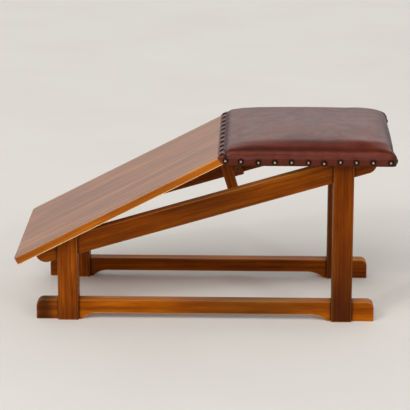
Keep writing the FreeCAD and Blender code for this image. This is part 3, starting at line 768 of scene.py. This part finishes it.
# Painted shade darkens the fold of the edge, the lower edge, the creases, the joint at the ramp end and the
# corners, and rings each nail as a contact shadow; some of it is wax and dust.
grime_and_shade = add(tree, "ShaderNodeAttribute", attribute_name="grime_and_shade")
shade_and_soil = add(tree, "ShaderNodeMath", {0: grime_and_shade.outputs["Fac"], 1: 0.85}, operation="MULTIPLY")
shaded_and_soiled = add(tree, "ShaderNodeMix", {0: shade_and_soil.outputs[0], 6: tone.outputs["Color"], 7: colour("#260B05")},
              data_type="RGBA")
tree.links.new(shaded_and_soiled.outputs[2], surface.inputs["Base Color"])
gloss = add(tree, "ShaderNodeMapRange", {"Value": wrinkles.outputs["Fac"], "From Min": 0.3, "From Max": 0.7,
                                         "To Min": 0.30, "To Max": 0.42})
tree.links.new(gloss.outputs["Result"], surface.inputs["Roughness"])
surface.inputs["IOR"].default_value = 1.28
# The top is polished by sitting.
upward = add(tree, "ShaderNodeSeparateXYZ", {0: add(tree, "ShaderNodeNewGeometry").outputs["Normal"]})
upward = add(tree, "ShaderNodeMapRange",
             {"Value": upward.outputs["Z"], "From Min": 0.6, "From Max": 0.95, "To Max": 0.30})
# Where shade is painted, the coat is taken off as well.
unshaded_and_clean = add(tree, "ShaderNodeMath", {0: 1.0, 1: grime_and_shade.outputs["Fac"]}, operation="SUBTRACT", use_clamp=True)
unshaded_and_clean = add(tree, "ShaderNodeMath", {0: unshaded_and_clean.outputs[0], 1: upward.outputs["Result"]}, operation="MULTIPLY")
tree.links.new(unshaded_and_clean.outputs[0], surface.inputs["Coat Weight"])
surface.inputs["Coat Roughness"].default_value = 0.26
surface.inputs["Coat IOR"].default_value = 1.5
soft = add(tree, "ShaderNodeBump",
           {"Height": wrinkles.outputs["Fac"], "Distance": 0.8 * MM, "Strength": 0.35})
fine = add(tree, "ShaderNodeBump",
           {"Height": pebbles.outputs["Distance"], "Distance": 0.12 * MM, "Strength": 0.4,
            "Normal": soft.outputs["Normal"]})
tree.links.new(fine.outputs["Normal"], surface.inputs["Normal"])
cover.data.materials.append(leather)

# %% [markdown]
# ## Dome nails
#
# An upholstery nail is a thin brass dome on a short steel shank, blackened and then rubbed bright on its
# crown. One is modelled: half of a sphere flattened into a dome, and a shank that ends in a point. It carries
# an attribute that says how near each point is to the crown, which is where it is rubbed and where its
# near-white tone paints in a highlight. It is then copied along each row, each copy with its own mesh, and
# tapped in a little crooked. The nails at the ramp's end are unrubbed and darker, as painted shade for the
# joint they sit in.

# %% Picking faces by their place or normal
def pick_faces(piece, wanted):
    """Goes into edit mode and selects the faces that pass this test."""
    select_only(piece)
    bpy.ops.object.mode_set(mode="EDIT")
    bpy.ops.mesh.select_mode(type="FACE")
    bpy.ops.mesh.select_all(action="DESELECT")
    shape = bmesh.from_edit_mesh(piece.data)
    for face in shape.faces:
        face.select_set(wanted(face))
    bmesh.update_edit_mesh(piece.data)


def grow_down(depth, share):
    """Extrudes the picked faces down by this depth and makes them narrower."""
    bpy.ops.mesh.extrude_region_move(TRANSFORM_OT_translate={"value": (0, 0, -depth)})
    bpy.ops.transform.resize(value=(share, share, 1.0))


# %% One nail
dome_radius, dome_rise = 5.0 * MM, 2.9 * MM
shank_length, point_length = 8.0 * MM, 2.5 * MM
bpy.ops.object.select_all(action="DESELECT")
bpy.ops.mesh.primitive_uv_sphere_add(segments=24, ring_count=12, radius=dome_radius)
pattern_nail = bpy.context.object
bpy.ops.object.mode_set(mode="EDIT")
bpy.ops.mesh.select_all(action="SELECT")
bpy.ops.mesh.bisect(plane_co=(0, 0, 0), plane_no=(0, 0, 1), clear_inner=True, use_fill=True)
bpy.ops.mesh.select_all(action="SELECT")
bpy.ops.transform.resize(value=(1.0, 1.0, dome_rise / dome_radius), center_override=(0, 0, 0))
bpy.ops.object.mode_set(mode="OBJECT")
pick_faces(pattern_nail, lambda face: face.normal.z < -0.9)
grow_down(0.0, 0.2)
grow_down(shank_length, 1.0)
grow_down(point_length, 0.3)
bpy.ops.object.mode_set(mode="OBJECT")
pattern_nail.data.shade_smooth()
rise = pattern_nail.data.attributes.new("crown", "FLOAT", "POINT")
rise.data.foreach_set("value", np.clip(points_of(pattern_nail)[:, 2] / dome_rise, 0.0, 1.0) ** 2.2)
print("One nail, mm:", [round(size / MM, 2) for size in pattern_nail.dimensions])

# %% Blackened brass
def blackened_brass(name, body, crown_tone):
    """Gives brass that is blackened all over and rubbed towards the crown of each dome, where a light crown
    tone is a painted highlight.
    """
    brass, tree, surface, place = new_material(name)
    rub = add(tree, "ShaderNodeTexNoise", {"Vector": place, "Scale": 420.0, "Detail": 3.0})
    rise = add(tree, "ShaderNodeAttribute", attribute_name="crown")
    rise = add(tree, "ShaderNodeMath", {0: rise.outputs["Fac"], 1: 0.8}, operation="MULTIPLY")
    rubbed = add(tree, "ShaderNodeMath", {0: rub.outputs["Fac"], 1: 0.2, 2: rise.outputs[0]},
                 operation="MULTIPLY_ADD")
    tone = add(tree, "ShaderNodeValToRGB", {0: rubbed.outputs[0]})
    tone.color_ramp.elements[0].position = 0.50
    tone.color_ramp.elements[0].color = colour("#20130C")
    tone.color_ramp.elements[1].position = 0.90
    tone.color_ramp.elements[1].color = colour(crown_tone)
    tone.color_ramp.elements.new(0.74).color = colour(body)
    tree.links.new(tone.outputs["Color"], surface.inputs["Base Color"])
    surface.inputs["Metallic"].default_value = 1.0
    gloss = add(tree, "ShaderNodeMapRange", {"Value": rub.outputs["Fac"], "To Min": 0.26, "To Max": 0.14})
    tree.links.new(gloss.outputs["Result"], surface.inputs["Roughness"])
    return brass


# The rubbed brass's near-white crown is a painted highlight; the dark brass is painted shade for the nails in
# the joint.
rubbed_brass_highlit = blackened_brass("brass, blackened and rubbed, painted crown highlight", "#664A38", "#E4C8B4")
dark_shaded_brass = blackened_brass("brass, blackened", "#20150E", "#54402F")


# %% Copies driven in by hand
head_depth = 3.5 * MM


def drive(pattern, name, node, finish, places, seed, lean=3.0):
    """Copies a pattern to each (spot, pointing, extra shank length), turned and leaned at random.

    What lies deeper than the head goes down by the extra length.
    """
    crooked = random.Random(seed)
    copies = []
    for number, (spot, pointing, extra) in enumerate(places):
        mesh = pattern.data.copy()
        for point in mesh.vertices:
            if point.co.z < -head_depth:
                point.co.z -= extra
        turn = Vector(pointing).to_track_quat("Z", "Y").to_matrix().to_4x4()
        angles = [math.radians(crooked.uniform(-lean, lean)) for _ in range(2)] + [crooked.uniform(0, 6)]
        mesh.transform(Matrix.Translation(spot) @ turn @ Euler(angles).to_matrix().to_4x4())
        copy = bpy.data.objects.new(f"{name}_{number}", mesh)
        bpy.context.scene.collection.objects.link(copy)
        copies.append(copy)
    select_only(*copies)
    bpy.ops.object.join()
    joined = bpy.context.object
    joined.name = name
    joined.data.materials.clear()
    joined.data.materials.append(finish)
    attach(joined, "root")
    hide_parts(node)
    print(name, len(copies))


# %% Rows of nails
# The free end's two outer nails stand on the folded corners, further out than the rest.
nail_rows = {
    "left_side": [((at, -side_face, nail_height + lift), (0, -1, 0))
                  for at, lift in zip(left_nails, side_lifts)],
    "right_side": [((at, side_face, nail_height + lift), (0, 1, 0))
                   for at, lift in zip(right_nails, side_lifts[::-1])],
    "free_end": [((353.0 if abs(at) > 150.0 else 349.0, at, nail_height), (1, 0, 0)) for at in end_nails],
    "ramp_end": [((31.17, at, 327.55), off_ramp) for at in flap_nails],
}
for seed, (row, places) in enumerate(nail_rows.items(), start=1):
    finish = dark_shaded_brass if row == "ramp_end" else rubbed_brass_highlit
    drive(pattern_nail, "dome_nails_" + row, "seat_nails_" + row, finish,
          [(Vector(spot) * MM, pointing, 0.0) for spot, pointing in places], seed)
bpy.data.objects.remove(pattern_nail)

# %% [markdown]
# ## Slotted screws
#
# Countersunk steel screws hold the boards and the struts. Each is a turned blank: a flat head with a cone
# under it, a straight shank and a point, with a slot sawn across the head. Old ones have gone brown.

# %% One screw
head_radius, head_edge, cone_depth = 3.95 * MM, 0.4 * MM, 2.6 * MM
shank_length, point_length = 16.0 * MM, 3.0 * MM
bpy.ops.object.select_all(action="DESELECT")
bpy.ops.mesh.primitive_cylinder_add(vertices=24, radius=head_radius, depth=head_edge,
                                    location=(0, 0, -head_edge / 2))
pattern_screw = bpy.context.object
bpy.ops.object.transform_apply(location=True)
pick_faces(pattern_screw, lambda face: face.normal.z < -0.9)
grow_down(cone_depth, 0.5)
grow_down(shank_length, 1.0)
grow_down(point_length, 0.3)
bpy.ops.object.mode_set(mode="OBJECT")
bpy.ops.mesh.primitive_cube_add(size=1.0, location=(0, 0, 0))
saw = bpy.context.object
saw.scale = (12.0 * MM, 1.0 * MM, 2.2 * MM)
select_only(pattern_screw)
slot_cut = pattern_screw.modifiers.new("slot", "BOOLEAN")
slot_cut.operation = "DIFFERENCE"
slot_cut.object = saw
slot_cut.solver = "EXACT"
apply_all(pattern_screw)
bpy.data.objects.remove(saw)
select_only(pattern_screw)
bpy.ops.object.shade_smooth_by_angle(angle=math.radians(35))
print("One screw, mm:", [round(size / MM, 2) for size in pattern_screw.dimensions])

# %% Browned steel
steel, tree, surface, place = new_material("steel screw, browned with age")
rust = add(tree, "ShaderNodeTexNoise", {"Vector": place, "Scale": 300.0, "Detail": 4.0})
tone = add(tree, "ShaderNodeMix", {0: rust.outputs["Fac"], 6: colour("#2A211B"), 7: colour("#5E5048")},
           data_type="RGBA")
tree.links.new(tone.outputs[2], surface.inputs["Base Color"])
surface.inputs["Metallic"].default_value = 0.85
surface.inputs["Roughness"].default_value = 0.5

# %% Screws where the boards are held
pattern_length = head_edge + cone_depth + shank_length + point_length
strut_holes = ((58.23, 229.53), (54.26, 242.95))
seat_holes = ((257.5, 70.0, 279.0, 39.5), (39.7, 55.0, 291.0, 27.5))
ramp_holes = ((-257.5, 70.0, 130.5, 39.5), (20.7, 55.0, 291.0, 22.6))
screw_rows = {
    "strut": [((x, side * 99.5, z), (0, -side, 0), 32.0) for side in (-1, 1) for x, z in strut_holes],
    "seat": [((x, side * y, z), (0, 0, -1), length) for side in (-1, 1) for x, y, z, length in seat_holes],
    "ramp": [((x, side * y, z), (0, 0, -1), length) for side in (-1, 1) for x, y, z, length in ramp_holes],
}
for row, places in screw_rows.items():
    drive(pattern_screw, row + "_wood_screws", row + "_screws", steel,
          [(Vector(spot) * MM, pointing, length * MM - pattern_length) for spot, pointing, length in places],
          seed=5, lean=0.0)
bpy.data.objects.remove(pattern_screw)
